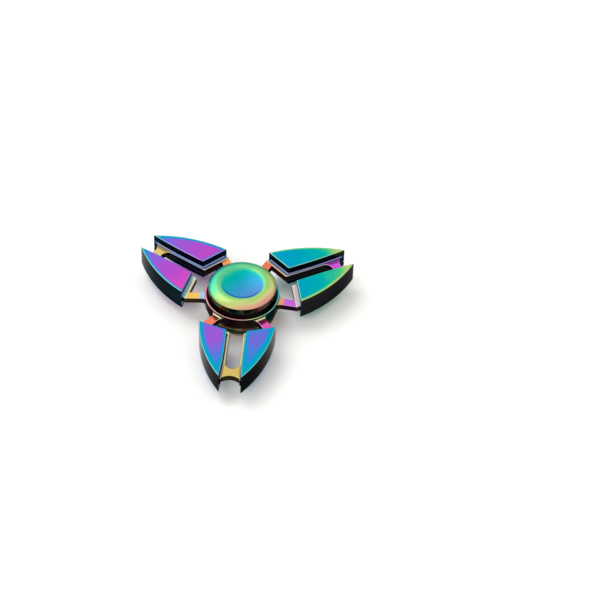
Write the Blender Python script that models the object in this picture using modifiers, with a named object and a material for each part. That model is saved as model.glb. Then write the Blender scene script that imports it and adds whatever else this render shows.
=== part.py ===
"""Three-armed claw fidget spinner: a die-cast body on a shielded ball bearing, held by two finger caps.

Run with: blender --background --python part.py

The spin axis is Z and the origin is the centre of the bearing. One arm points along -Y. Lengths are in
metres. In plan, an arm's own frame has X outward along the arm and Y across it.
"""

import math

import bmesh
import bpy
from mathutils import Matrix, Vector

MM = 0.001
ARM_ANGLES = [math.radians(-90 + 120 * arm) for arm in range(3)]

# Ball bearing, size 608: 8 mm bore, 22 mm outside, 7 mm wide.
BEARING_BORE_RADIUS = 4.0 * MM
BEARING_OUTER_RADIUS = 11.0 * MM
BEARING_HALF_WIDTH = 3.5 * MM
RING_CHAMFER = 0.3 * MM
PITCH_RADIUS = 7.5 * MM
BALL_RADIUS = 3.969 / 2 * MM
BALL_COUNT = 7
BALL_CLEARANCE = 0.085 * MM
GROOVE_RADIUS = BALL_RADIUS + BALL_CLEARANCE
INNER_SHOULDER_RADIUS = 6.05 * MM
OUTER_SHOULDER_RADIUS = 9.0 * MM
OUTER_SHOULDER_HALF_WIDTH = 2.6 * MM
SHIELD_SEAT_RADIUS = 9.7 * MM
SNAP_GROOVE_RADIUS = 9.9 * MM
SNAP_GROOVE_HEIGHTS = (2.98 * MM, 3.40 * MM)

# Ball cage, shields and snap rings.
POCKET_RADIUS = 2.15 * MM
CAGE_INNER_RADIUS = 6.7 * MM
CAGE_OUTER_RADIUS = 8.3 * MM
CAGE_THICKNESS = 0.35 * MM
CAGE_HALF_GAP = 0.05 * MM
RIVET_RADIUS = 0.32 * MM
RIVET_HEAD_RADIUS = 0.6 * MM
RIVET_HEAD_HEIGHT = 0.27 * MM
RIVET_CROWN_RADIUS = 0.42 * MM
RIVET_CROWN_DROP = 0.054 * MM
RIVET_SKIRT_HEIGHT = 0.081 * MM
SHIELD_INNER_RADIUS = 6.3 * MM
SHIELD_OUTER_RADIUS = 9.6 * MM
SHIELD_RIM_HEIGHT = 2.68 * MM
SHIELD_FACE_HEIGHT = 2.95 * MM
SHIELD_THICKNESS = 0.27 * MM
SNAP_WIRE_RADIUS = 0.19 * MM
SNAP_RING_RADIUS = 9.62 * MM
SNAP_RING_SWEEP = math.radians(325)

# Finger caps.
CAP_RADIUS = 11.84 * MM
CAP_UNDERSIDE = 3.8 * MM
CAP_EDGE_HEIGHT = 5.97 * MM
CREST_HEIGHT = 7.55 * MM
CREST_INNER_RADIUS = 7.9 * MM
CREST_OUTER_RADIUS = 8.6 * MM
DISH_RADIUS = 7.4 * MM
DISH_RIM_DROP = 0.1 * MM
DISH_DEPTH = 0.6 * MM
CAP_CHAMFER = 0.3 * MM
BOSS_RADIUS = 5.6 * MM
STUD_RADIUS = 1.9 * MM
STUD_CHAMFER = 0.3 * MM
STUD_END = -4.2 * MM
POST_BORE_RADIUS = 2.0 * MM
POST_BORE_FLOOR = -4.6 * MM
POST_TOP = 0.1 * MM
SPIGOT_END = 0.3 * MM

# Cast body.
HUB_RADIUS = 13.0 * MM
HUB_HALF_HEIGHT = 2.25 * MM
HUB_CHAMFER = 0.3 * MM
BLADE_HALF_HEIGHT = 4.05 * MM
BLADE_TIP = Vector((41.7, 3.7)) * MM
BLADE_ROOT_INNER = Vector((19.4, 3.3)) * MM
BLADE_ROOT_OUTER = Vector((16.35, 13.2)) * MM
BLADE_EDGE_RADIUS = 46.0 * MM
BLADE_INNER_RADIUS = 200.0 * MM
BLADE_BEVEL = 0.35 * MM
FRAME_HALF_HEIGHT = 1.25 * MM
FRAME_INSET = 0.45 * MM
LEDGE_WIDTH = 1.7 * MM
SLOT_HALF_WIDTH = 2.3 * MM
SLOT_END = 34.8 * MM
WEB_END = 38.2 * MM
WEB_CORNER = Vector((39.2, 2.8)) * MM
FRAME_TIP_WIDTH = 4.8 * MM
LEG_ANGLE = math.radians(35.5)
LEG_HALF_WIDTH = 1.55 * MM
LEG_HALF_HEIGHT = 1.15 * MM
LEG_END = 19.4 * MM
LEG_ROOT_RADIUS = 12.2 * MM
LEG_FILLETS = (2.2 * MM, 1.2 * MM)

# Working gaps between neighbours, and how finely round shapes are divided.
SEAT_GAP = 0.05 * MM
MERGE = 1e-6
HUB_STEPS = 72
CAP_STEPS = 56
RING_STEPS = 48
RIVET_STEPS = 8
SNAP_RING_STEPS = 30
BALL_STEPS_AROUND = 14
BALL_STEPS_DOWN = 9
GROOVE_STEPS = 6
ARCH_STEPS = 7
BLADE_INNER_STEPS = 4
BLADE_EDGE_STEPS = 12
FRAME_STEPS = 8
WEB_STEPS = 6
FILLET_STEPS = 5
DISH_STEPS = 4
SHOULDER_STEPS = 5
SHARP_ANGLE = math.radians(32)


def clear_scene():
    for obj in list(bpy.data.objects):
        bpy.data.objects.remove(obj, do_unlink=True)


def new_collection(name, hidden=False):
    collection = bpy.data.collections.new(name)
    bpy.context.scene.collection.children.link(collection)
    collection.hide_render = hidden
    return collection


def metal(name, colour, roughness):
    """A metallic Principled material with one base colour."""
    material = bpy.data.materials.new(name)
    material.use_nodes = True
    shader = material.node_tree.nodes["Principled BSDF"]
    shader.inputs["Base Color"].default_value = (*colour, 1.0)
    shader.inputs["Metallic"].default_value = 1.0
    shader.inputs["Roughness"].default_value = roughness
    material.diffuse_color = (*colour, 1.0)
    return material


def add_object(name, data, collection):
    obj = bpy.data.objects.new(name, data)
    collection.objects.link(obj)
    return obj


def as_helper(obj):
    """Mark a cutter or a building block that isn't a part itself."""
    obj.hide_render = True
    obj.display_type = "WIRE"
    return obj


def freeze(obj):
    """Turn an object into the plain mesh that its modifiers make, shaded smooth between sharp edges."""
    bpy.context.view_layer.update()
    graph = bpy.context.evaluated_depsgraph_get()
    mesh = bpy.data.meshes.new_from_object(obj.evaluated_get(graph))
    obj.modifiers.clear()
    obj.data = mesh
    mesh.shade_smooth()
    mesh.set_sharp_from_angle(angle=SHARP_ANGLE)
    return obj


def finish_part(obj, material, parent):
    """Give a part its material and hang it on the empty of the body that it moves with."""
    obj.data.materials.clear()
    obj.data.materials.append(material)
    obj.parent = parent
    return obj


def turned(name, profile, steps, collection, closed):
    """A shape turned about Z from (radius, height) points that run down its outer side."""
    mesh = bpy.data.meshes.new(name)
    count = len(profile)
    edges = [(i, i + 1) for i in range(count - 1)]
    if closed:
        edges.append((count - 1, 0))
    mesh.from_pydata([(radius, 0.0, height) for radius, height in profile], edges, [])
    obj = add_object(name, mesh, collection)
    screw = obj.modifiers.new("turn", "SCREW")
    screw.axis = "Z"
    screw.angle = math.tau
    screw.steps = steps
    screw.render_steps = steps
    screw.use_merge_vertices = True
    screw.merge_threshold = MERGE
    return freeze(obj)


def flipped(profile):
    """A turned profile turned upside down, still running down its outer side."""
    return [(radius, -height) for radius, height in reversed(profile)]


def plate(name, points, half_height, collection):
    """A flat closed outline in plan, made a mesh of the given half height."""
    curve = bpy.data.curves.new(name, "CURVE")
    curve.dimensions = "2D"
    curve.fill_mode = "BOTH"
    curve.extrude = half_height
    spline = curve.splines.new("POLY")
    spline.points.add(len(points) - 1)
    for spot, (x, y) in zip(spline.points, points):
        spot.co = (x, y, 0.0, 1.0)
    spline.use_cyclic_u = True
    drawn = add_object(name + "_outline", curve, collection)
    bpy.context.view_layer.update()
    graph = bpy.context.evaluated_depsgraph_get()
    mesh = bpy.data.meshes.new_from_object(drawn.evaluated_get(graph))
    bpy.data.objects.remove(drawn, do_unlink=True)
    welded = bmesh.new()
    welded.from_mesh(mesh)
    bmesh.ops.remove_doubles(welded, verts=welded.verts, dist=MERGE)
    welded.to_mesh(mesh)
    welded.free()
    return add_object(name, mesh, collection)


def bevelled(obj, width):
    """Cut a chamfer of one width along every sharp edge."""
    bevel = obj.modifiers.new("edge", "BEVEL")
    bevel.width = width
    bevel.segments = 1
    bevel.limit_method = "ANGLE"
    bevel.angle_limit = SHARP_ANGLE
    bevel.use_clamp_overlap = False
    return freeze(obj)


def combine(obj, other, operation):
    boolean = obj.modifiers.new(other.name, "BOOLEAN")
    boolean.operation = operation
    boolean.solver = "EXACT"
    boolean.object = other


def arc_points(centre, radius, start, end, steps):
    """Points along an arc in plan, from one angle to another."""
    angles = [start + (end - start) * step / steps for step in range(steps + 1)]
    return [centre + radius * Vector((math.cos(a), math.sin(a))) for a in angles]


def arc_centre(first, last, radius):
    """The centre, on the left of the way from first to last, of the arc that joins them."""
    along = last - first
    left = Vector((-along.y, along.x)).normalized()
    return (first + last) / 2 + left * math.sqrt(radius**2 - (along.length / 2) ** 2)


def heading(centre, point):
    return math.atan2(point.y - centre.y, point.x - centre.x)


def mirrored(points):
    """The same points on the other side of the arm, in the opposite order."""
    return [Vector((point.x, -point.y)) for point in reversed(points)]


def arc_between(first, last, radius, steps):
    """Points along the arc that bulges to the right of the way from first to last."""
    centre = arc_centre(first, last, radius)
    return arc_points(centre, radius, heading(centre, first), heading(centre, last), steps)


def blade_outline():
    """A blade in plan: along its slot side from root to tip, and back along its curved outer edge."""
    inner_edge = arc_between(BLADE_ROOT_INNER, BLADE_TIP, BLADE_INNER_RADIUS, BLADE_INNER_STEPS)
    outer_edge = arc_between(BLADE_TIP, BLADE_ROOT_OUTER, BLADE_EDGE_RADIUS, BLADE_EDGE_STEPS)
    return inner_edge[:-1] + outer_edge


def frame_outline():
    """The thin frame under two blades: a ledge at their roots, a slot between them, a web at its end."""
    along_root = (BLADE_ROOT_OUTER - BLADE_ROOT_INNER).normalized()
    to_hub = Vector((-along_root.y, along_root.x)) * LEDGE_WIDTH
    ledge_outer = BLADE_ROOT_OUTER + to_hub
    ledge_inner = BLADE_ROOT_INNER + to_hub
    ledge_inner += along_root * (SLOT_HALF_WIDTH - ledge_inner.y) / along_root.y

    centre = arc_centre(BLADE_TIP, BLADE_ROOT_OUTER, BLADE_EDGE_RADIUS)
    inset_radius = BLADE_EDGE_RADIUS - FRAME_INSET
    start = heading(centre, Vector((WEB_CORNER.x, FRAME_TIP_WIDTH))) + FRAME_INSET / BLADE_EDGE_RADIUS
    end = heading(centre, BLADE_ROOT_OUTER)
    outer_side = arc_points(centre, inset_radius, start, end, FRAME_STEPS)

    web_depth = WEB_CORNER.x - WEB_END
    web_radius = (WEB_CORNER.y**2 + web_depth**2) / (2 * web_depth)
    web_centre = Vector((WEB_END + web_radius, 0.0))
    half_sweep = math.asin(WEB_CORNER.y / web_radius)
    web_edge = arc_points(web_centre, web_radius, math.pi + half_sweep, math.pi - half_sweep, WEB_STEPS)

    side = [Vector((WEB_CORNER.x, FRAME_TIP_WIDTH))] + outer_side + [ledge_outer, ledge_inner]
    slot_centre = Vector((SLOT_END - SLOT_HALF_WIDTH, 0.0))
    slot_end = arc_points(slot_centre, SLOT_HALF_WIDTH, math.pi / 2, -math.pi / 2, FRAME_STEPS)
    return mirrored(side) + web_edge + side + slot_end


def leg_outline():
    """A leg in its own frame, X outward from the hub, with a fillet to the hub on each side."""
    near, far = [], []
    for points, fillet, sign in ((near, LEG_FILLETS[0], -1), (far, LEG_FILLETS[1], 1)):
        across = LEG_HALF_WIDTH + fillet
        centre = Vector((math.sqrt((HUB_RADIUS + fillet) ** 2 - across**2), sign * across))
        on_hub = heading(centre, Vector((0.0, 0.0)))
        on_leg = -sign * math.pi / 2
        if sign < 0:
            on_hub %= math.tau
        points += [centre.normalized() * LEG_ROOT_RADIUS]
        points += arc_points(centre, fillet, on_hub, on_leg, FILLET_STEPS)
        points += [Vector((LEG_END, sign * LEG_HALF_WIDTH))]
    return near + far[::-1]


def make_arm(collection):
    """One arm, outward along X: the frame, two legs to the hub and two raised blades."""
    arm = plate("arm", frame_outline(), FRAME_HALF_HEIGHT, collection)
    near_side = leg_outline()
    for side, sign in (("left", 1), ("right", -1)):
        turn = Matrix.Rotation(sign * LEG_ANGLE, 2)
        leg_points = [turn @ Vector((point.x, sign * point.y)) for point in near_side][::sign]
        leg = plate("leg_" + side, leg_points, LEG_HALF_HEIGHT, collection)
        blade_points = [Vector((point.x, sign * point.y)) for point in blade_outline()][::sign]
        blade = plate("blade_" + side, blade_points, BLADE_HALF_HEIGHT, collection)
        bevelled(blade, BLADE_BEVEL)
        for piece in (leg, blade):
            combine(arm, as_helper(piece), "UNION")
    return as_helper(freeze(arm))


def make_spinner_body(parts, helpers):
    """The cast body: a hub ring around the bearing, joined to three arms."""
    bore = BEARING_OUTER_RADIUS + SEAT_GAP / 2
    top = HUB_HALF_HEIGHT
    profile = [
        (bore + HUB_CHAMFER, top),
        (HUB_RADIUS - HUB_CHAMFER, top),
        (HUB_RADIUS, top - HUB_CHAMFER),
        (HUB_RADIUS, HUB_CHAMFER - top),
        (HUB_RADIUS - HUB_CHAMFER, -top),
        (bore + HUB_CHAMFER, -top),
        (bore, HUB_CHAMFER - top),
        (bore, top - HUB_CHAMFER),
    ]
    body = turned("spinner_body", profile, HUB_STEPS, parts, closed=True)
    arm = make_arm(helpers)
    for number, angle in enumerate(ARM_ANGLES, start=1):
        copy = as_helper(add_object(f"arm_{number}", arm.data, helpers))
        copy.rotation_euler.z = angle
        combine(body, copy, "UNION")
    return freeze(body)


def groove_profile(shoulder_radius, from_top):
    """The ball groove of a bearing ring, between its shoulders, from top to bottom or back."""
    reach = shoulder_radius - PITCH_RADIUS
    half_height = math.sqrt(GROOVE_RADIUS**2 - reach**2)
    profile = []
    for step in range(GROOVE_STEPS + 1):
        angle = math.asin(half_height / GROOVE_RADIUS) * (1 - 2 * step / GROOVE_STEPS)
        radius = PITCH_RADIUS + math.copysign(GROOVE_RADIUS * math.cos(angle), reach)
        profile.append((radius, GROOVE_RADIUS * math.sin(angle)))
    return profile if from_top else profile[::-1]


def make_inner_ring(parts):
    top = BEARING_HALF_WIDTH
    edge = top - RING_CHAMFER
    outer_side = [(INNER_SHOULDER_RADIUS - RING_CHAMFER, top), (INNER_SHOULDER_RADIUS, edge)]
    outer_side += groove_profile(INNER_SHOULDER_RADIUS, from_top=True)
    outer_side += [(INNER_SHOULDER_RADIUS, -edge), (INNER_SHOULDER_RADIUS - RING_CHAMFER, -top)]
    bore = [(BEARING_BORE_RADIUS + RING_CHAMFER, -top), (BEARING_BORE_RADIUS, -edge)]
    bore += [(BEARING_BORE_RADIUS, edge), (BEARING_BORE_RADIUS + RING_CHAMFER, top)]
    return turned("bearing_inner_ring", outer_side + bore, RING_STEPS, parts, closed=True)


def make_outer_ring(parts):
    outer_radius = BEARING_OUTER_RADIUS - SEAT_GAP / 2
    top = BEARING_HALF_WIDTH
    edge = top - RING_CHAMFER
    outer_side = [(outer_radius - RING_CHAMFER, top), (outer_radius, edge)]
    outer_side += [(outer_radius, -edge), (outer_radius - RING_CHAMFER, -top)]
    low, high = SNAP_GROOVE_HEIGHTS
    lower_inside = [
        (SHIELD_SEAT_RADIUS, -top),
        (SHIELD_SEAT_RADIUS, -high),
        (SNAP_GROOVE_RADIUS, -high),
        (SNAP_GROOVE_RADIUS, -low),
        (SHIELD_SEAT_RADIUS, -low),
        (SHIELD_SEAT_RADIUS, -OUTER_SHOULDER_HALF_WIDTH),
        (OUTER_SHOULDER_RADIUS, -OUTER_SHOULDER_HALF_WIDTH),
    ]
    inside = lower_inside + groove_profile(OUTER_SHOULDER_RADIUS, from_top=False) + flipped(lower_inside)
    return turned("bearing_outer_ring", outer_side + inside, RING_STEPS, parts, closed=True)


def ring_spot(index):
    """The angle of a ball, or halfway to the next one when the index ends in a half."""
    return math.tau * index / BALL_COUNT


def make_balls(parts, steel, cage_axis):
    shape = bmesh.new()
    bmesh.ops.create_uvsphere(
        shape,
        u_segments=BALL_STEPS_AROUND,
        v_segments=BALL_STEPS_DOWN,
        radius=BALL_RADIUS,
    )
    mesh = bpy.data.meshes.new("bearing_ball")
    shape.to_mesh(mesh)
    shape.free()
    mesh.shade_smooth()
    for index in range(BALL_COUNT):
        ball = add_object(f"bearing_ball_{index + 1}", mesh, parts)
        ball.location = Matrix.Rotation(ring_spot(index), 3, "Z") @ Vector((PITCH_RADIUS, 0.0, 0.0))
        finish_part(ball, steel, cage_axis)


def cage_stations():
    """(angle, height) of the ribbon's underside: an arch over each ball, and a flat land between balls."""
    lowest = math.asin(2 * CAGE_HALF_GAP / POCKET_RADIUS)
    stations = []
    for index in range(BALL_COUNT):
        for step in range(ARCH_STEPS + 1):
            lift = lowest + (math.pi - 2 * lowest) * step / ARCH_STEPS
            offset = -POCKET_RADIUS * math.cos(lift) / PITCH_RADIUS
            stations.append((ring_spot(index) + offset, POCKET_RADIUS * math.sin(lift)))
        foot = (POCKET_RADIUS + CAGE_HALF_GAP) / PITCH_RADIUS
        stations.append((ring_spot(index) + foot, CAGE_HALF_GAP))
        stations.append((ring_spot(index + 1) - foot, CAGE_HALF_GAP))
    return stations


def make_cage_half(name, side, parts, helpers):
    """One pressed ribbon, on the upper (1) or lower (-1) side, with a hole in each land for its rivet."""
    stations = cage_stations()
    strip = bmesh.new()
    bmesh.ops.create_circle(strip, segments=len(stations), radius=CAGE_INNER_RADIUS)
    inner = list(strip.verts)
    grown = bmesh.ops.extrude_edge_only(strip, edges=list(strip.edges))["geom"]
    outer = [item for item in grown if isinstance(item, bmesh.types.BMVert)]
    for radius, ring in ((CAGE_INNER_RADIUS, inner), (CAGE_OUTER_RADIUS, outer)):
        ring.sort(key=lambda vert: math.atan2(vert.co.y, vert.co.x) % math.tau)
        for vert, (angle, height) in zip(ring, stations):
            vert.co = (radius * math.cos(angle), radius * math.sin(angle), side * height)
    bmesh.ops.recalc_face_normals(strip, faces=list(strip.faces))
    if sum(face.normal.z for face in strip.faces) * side < 0:
        bmesh.ops.reverse_faces(strip, faces=list(strip.faces))
    mesh = bpy.data.meshes.new(name)
    strip.to_mesh(mesh)
    strip.free()
    half = add_object(name, mesh, parts)
    solidify = half.modifiers.new("thickness", "SOLIDIFY")
    solidify.thickness = CAGE_THICKNESS
    solidify.offset = 1.0
    combine(half, rivet_holes(name, helpers), "DIFFERENCE")
    return freeze(half)


def rivet_holes(name, helpers):
    holes = bmesh.new()
    for index in range(BALL_COUNT):
        spot = Matrix.Rotation(ring_spot(index + 0.5), 4, "Z") @ Matrix.Translation((PITCH_RADIUS, 0, 0))
        bmesh.ops.create_cone(
            holes,
            cap_ends=True,
            segments=RIVET_STEPS,
            radius1=RIVET_RADIUS + 2 * SEAT_GAP,
            radius2=RIVET_RADIUS + 2 * SEAT_GAP,
            depth=4 * CAGE_THICKNESS,
            matrix=spot,
        )
    mesh = bpy.data.meshes.new(name + "_rivet_holes")
    holes.to_mesh(mesh)
    holes.free()
    return as_helper(add_object(mesh.name, mesh, helpers))


def make_rivets(parts, steel, cage_axis):
    seat = CAGE_HALF_GAP + CAGE_THICKNESS + SEAT_GAP
    top = seat + RIVET_HEAD_HEIGHT
    upper = [
        (0.0, top),
        (RIVET_CROWN_RADIUS, top - RIVET_CROWN_DROP),
        (RIVET_HEAD_RADIUS, seat + RIVET_SKIRT_HEIGHT),
        (RIVET_HEAD_RADIUS, seat),
        (RIVET_RADIUS, seat),
    ]
    first = turned("cage_rivet_1", upper + flipped(upper), RIVET_STEPS, parts, closed=False)
    rivets = [first] + [add_object(f"cage_rivet_{i + 1}", first.data, parts) for i in range(1, BALL_COUNT)]
    for index, rivet in enumerate(rivets):
        rivet.location = Matrix.Rotation(ring_spot(index + 0.5), 3, "Z") @ Vector((PITCH_RADIUS, 0, 0))
        rivet.rotation_euler.z = ring_spot(index + 0.5)
        finish_part(rivet, steel, cage_axis)


def make_shield(name, upper, parts):
    """A pressed disc whose rim rests on the outer ring and whose face stands a little higher."""
    step = SHIELD_FACE_HEIGHT - SHIELD_RIM_HEIGHT
    thick = SHIELD_THICKNESS
    rim_inner = OUTER_SHOULDER_RADIUS + step
    profile = [
        (SHIELD_INNER_RADIUS, SHIELD_FACE_HEIGHT + thick),
        (rim_inner - step, SHIELD_FACE_HEIGHT + thick),
        (rim_inner, SHIELD_RIM_HEIGHT + thick),
        (SHIELD_OUTER_RADIUS, SHIELD_RIM_HEIGHT + thick),
        (SHIELD_OUTER_RADIUS, SHIELD_RIM_HEIGHT),
        (rim_inner - thick / 2, SHIELD_RIM_HEIGHT),
        (rim_inner - step - thick / 2, SHIELD_FACE_HEIGHT),
        (SHIELD_INNER_RADIUS, SHIELD_FACE_HEIGHT),
    ]
    return turned(name, profile if upper else flipped(profile), RING_STEPS, parts, closed=True)


def make_snap_ring(name, side, parts):
    """An open ring of round wire in the outer ring's groove, which holds a shield down."""
    height = side * sum(SNAP_GROOVE_HEIGHTS) / 2
    curve = bpy.data.curves.new(name, "CURVE")
    curve.dimensions = "3D"
    curve.bevel_depth = SNAP_WIRE_RADIUS
    curve.bevel_resolution = 1
    curve.use_fill_caps = True
    start = (math.tau - SNAP_RING_SWEEP) / 2
    end = start + SNAP_RING_SWEEP
    centreline = arc_points(Vector((0.0, 0.0)), SNAP_RING_RADIUS, start, end, SNAP_RING_STEPS)
    spline = curve.splines.new("POLY")
    spline.points.add(len(centreline) - 1)
    for spot, point in zip(spline.points, centreline):
        spot.co = (point.x, point.y, height, 1.0)
    return add_object(name, curve, parts)


def cap_face_profile():
    """The finger face of a cap: a shallow dish, a flat crest and a shoulder that falls to the side wall."""
    dish_sphere = (DISH_RADIUS**2 + DISH_DEPTH**2) / (2 * DISH_DEPTH)
    rim_height = CREST_HEIGHT - DISH_RIM_DROP
    profile = []
    for step in range(DISH_STEPS + 1):
        radius = DISH_RADIUS * step / DISH_STEPS
        rise = dish_sphere - math.sqrt(dish_sphere**2 - radius**2)
        profile.append((radius, rim_height - DISH_DEPTH + rise))
    profile.append((CREST_INNER_RADIUS, CREST_HEIGHT))
    run = CAP_RADIUS - CREST_OUTER_RADIUS
    drop = CREST_HEIGHT - CAP_EDGE_HEIGHT
    final_slope = 2 * math.atan2(drop, run)
    shoulder_radius = run / math.sin(final_slope)
    for step in range(SHOULDER_STEPS + 1):
        slope = final_slope * step / SHOULDER_STEPS
        radius = CREST_OUTER_RADIUS + shoulder_radius * math.sin(slope)
        profile.append((radius, CREST_HEIGHT - shoulder_radius * (1 - math.cos(slope))))
    profile.append((CAP_RADIUS, CAP_UNDERSIDE + CAP_CHAMFER))
    profile.append((CAP_RADIUS - CAP_CHAMFER, CAP_UNDERSIDE))
    profile.append((BOSS_RADIUS, CAP_UNDERSIDE))
    profile.append((BOSS_RADIUS, BEARING_HALF_WIDTH + SEAT_GAP))
    profile.append((BEARING_BORE_RADIUS - SEAT_GAP, BEARING_HALF_WIDTH + SEAT_GAP))
    return profile


def make_upper_cap(parts):
    """The cap with the stud, which goes down the bearing's bore into the other cap's post."""
    profile = cap_face_profile()
    profile += [
        (BEARING_BORE_RADIUS - SEAT_GAP, SPIGOT_END),
        (STUD_RADIUS, SPIGOT_END),
        (STUD_RADIUS, STUD_END + STUD_CHAMFER),
        (STUD_RADIUS - STUD_CHAMFER, STUD_END),
        (0.0, STUD_END),
    ]
    return turned("upper_cap", profile, CAP_STEPS, parts, closed=False)


def make_lower_cap(parts):
    """The cap with the hollow post."""
    post = [
        (0.0, POST_BORE_FLOOR),
        (POST_BORE_RADIUS, POST_BORE_FLOOR),
        (POST_BORE_RADIUS, POST_TOP),
        (BEARING_BORE_RADIUS - SEAT_GAP, POST_TOP),
    ]
    return turned("lower_cap", post + flipped(cap_face_profile()), CAP_STEPS, parts, closed=False)


def main():
    clear_scene()
    parts = new_collection("fidget_spinner")
    helpers = new_collection("cutters_and_blocks", hidden=True)

    rainbow = metal("rainbow_plating", (0.16, 0.42, 0.62), 0.18)
    cap_rainbow = metal("cap_plating", (0.22, 0.70, 0.58), 0.20)
    bearing_steel = metal("bearing_steel", (0.62, 0.63, 0.65), 0.16)
    pressed_steel = metal("pressed_steel", (0.50, 0.51, 0.53), 0.32)
    spring_steel = metal("spring_steel", (0.30, 0.31, 0.34), 0.30)

    core_axis = add_object("core_axis", None, parts)
    rotor_axis = add_object("rotor_axis", None, parts)
    cage_axis = add_object("cage_axis", None, parts)
    rotor_axis.parent = core_axis
    cage_axis.parent = core_axis

    finish_part(make_upper_cap(parts), cap_rainbow, core_axis)
    finish_part(make_lower_cap(parts), cap_rainbow, core_axis)
    finish_part(make_inner_ring(parts), bearing_steel, core_axis)

    finish_part(make_spinner_body(parts, helpers), rainbow, rotor_axis)
    finish_part(make_outer_ring(parts), bearing_steel, rotor_axis)
    for name, side in (("upper", 1), ("lower", -1)):
        finish_part(make_shield(name + "_shield", side > 0, parts), pressed_steel, rotor_axis)
        finish_part(make_snap_ring(name + "_snap_ring", side, parts), spring_steel, rotor_axis)
        cage_half = make_cage_half(f"cage_{name}_half", side, parts, helpers)
        finish_part(cage_half, pressed_steel, cage_axis)

    make_balls(parts, bearing_steel, cage_axis)
    make_rivets(parts, pressed_steel, cage_axis)


main()
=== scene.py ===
"""Looks for the claw fidget spinner: rainbow-plated casting and finger caps on a steel ball bearing.

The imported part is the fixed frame. The casting and the two caps are drawn again in the same places with
finer meshes and rounded edges. The bearing keeps its CAD meshes. Every surface gets a procedural material.
Lengths are in millimetres here and become metres when a mesh is made.
"""

import math

import bmesh
import bpy
from mathutils import Matrix, Vector
from mathutils.geometry import intersect_line_sphere_2d, intersect_sphere_sphere_2d


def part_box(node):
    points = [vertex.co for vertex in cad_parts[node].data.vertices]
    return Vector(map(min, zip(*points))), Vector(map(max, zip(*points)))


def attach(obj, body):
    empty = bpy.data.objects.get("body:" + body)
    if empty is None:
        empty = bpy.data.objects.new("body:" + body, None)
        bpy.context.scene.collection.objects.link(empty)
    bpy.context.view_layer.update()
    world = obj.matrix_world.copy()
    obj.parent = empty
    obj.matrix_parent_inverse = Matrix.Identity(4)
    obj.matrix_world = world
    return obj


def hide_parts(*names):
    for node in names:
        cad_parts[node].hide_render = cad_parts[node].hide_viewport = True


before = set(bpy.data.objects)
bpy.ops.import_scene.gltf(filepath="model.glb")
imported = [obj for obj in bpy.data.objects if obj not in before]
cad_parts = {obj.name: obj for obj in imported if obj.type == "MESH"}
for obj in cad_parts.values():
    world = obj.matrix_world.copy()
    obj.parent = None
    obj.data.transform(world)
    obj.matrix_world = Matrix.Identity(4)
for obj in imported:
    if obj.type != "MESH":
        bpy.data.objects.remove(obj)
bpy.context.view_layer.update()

MM = 0.001


def node_box(name):
    """The lowest and highest corner of a CAD node, in millimetres."""
    low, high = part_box(name)
    return low / MM, high / MM


# Sizes read from the frame.
BODY_LOW, BODY_HIGH = node_box("spinner_body")
CAP_LOW, CAP_HIGH = node_box("upper_cap")
RING_HIGH = node_box("bearing_outer_ring")[1]
CORE_HIGH = node_box("bearing_inner_ring")[1]
LOWER_CAP_LOW = node_box("lower_cap")[0]
SEAT_GAP = 0.05

# The casting. In an arm's own frame X runs outward along the arm and Y across it.
ARM_ANGLES = [math.radians(-90 + 120 * arm) for arm in range(3)]
BLADE_HALF_HEIGHT = BODY_HIGH.z
BLADE_TIP = Vector((-BODY_LOW.y, 3.7))
BLADE_ROOT_INNER = Vector((19.4, 3.3))
BLADE_ROOT_OUTER = Vector((16.35, 13.2))
BLADE_EDGE_RADIUS = 46.0
BLADE_INNER_RADIUS = 200.0
BLADE_ROUNDING = 0.35
FRAME_HALF_HEIGHT = 1.25
FRAME_INSET = 0.45
FRAME_CHAMFER = 0.32
LEDGE_WIDTH = 1.7
SLOT_HALF_WIDTH = 2.3
SLOT_END = 34.8
WEB_END = 38.2
WEB_CORNER = Vector((39.2, 2.8))
FRAME_TIP_WIDTH = 4.8
HUB_RADIUS = 13.0
HUB_HALF_HEIGHT = 2.25
HUB_ROUNDING = 0.3
HUB_BORE_RADIUS = RING_HIGH.x + SEAT_GAP
HUB_FACES_WITHIN = HUB_RADIUS + 0.02
LEG_ANGLE = math.radians(35.5)
LEG_HALF_WIDTH = 1.55
LEG_HALF_HEIGHT = 1.15
LEG_END = 19.4
LEG_ROOT = 12.2
LEG_ROUNDING = 0.25
LEG_RAMP_START = 13.5
LEG_RAMP_RISE = 0.35
LEG_FILLETS = (2.2, 1.2)
FILLET_SHARE = 0.95
FOOT_RADIUS = 0.4
FOOT_OVERLAP = 0.02
FOOT_OUTER_INSET = 1.0

# The finger caps.
CAP_RADIUS = CAP_HIGH.x
CREST_HEIGHT = CAP_HIGH.z
CAP_UNDERSIDE = 3.8
CAP_EDGE_HEIGHT = 5.97
CREST_INNER_RADIUS = 7.9
CREST_OUTER_RADIUS = 8.6
DISH_RADIUS = 7.4
DISH_RIM_DROP = 0.1
DISH_DEPTH = 0.6
LIP_WIDTH = 0.2
LIP_DROP = 0.045
SIDE_STEP = 0.1
CAP_ROUNDING = 0.3
BOSS_RADIUS = 5.6
INNER_RING_WALL = 2.05
SPIGOT_RADIUS = CORE_HIGH.x - INNER_RING_WALL - SEAT_GAP
STUD_RADIUS = 1.9
STUD_ROUNDING = 0.3
STUD_END = CAP_LOW.z
SPIGOT_END = 0.3
POST_BORE_RADIUS = 2.0
POST_BORE_FLOOR = -4.6
POST_TOP = 0.1

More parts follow.
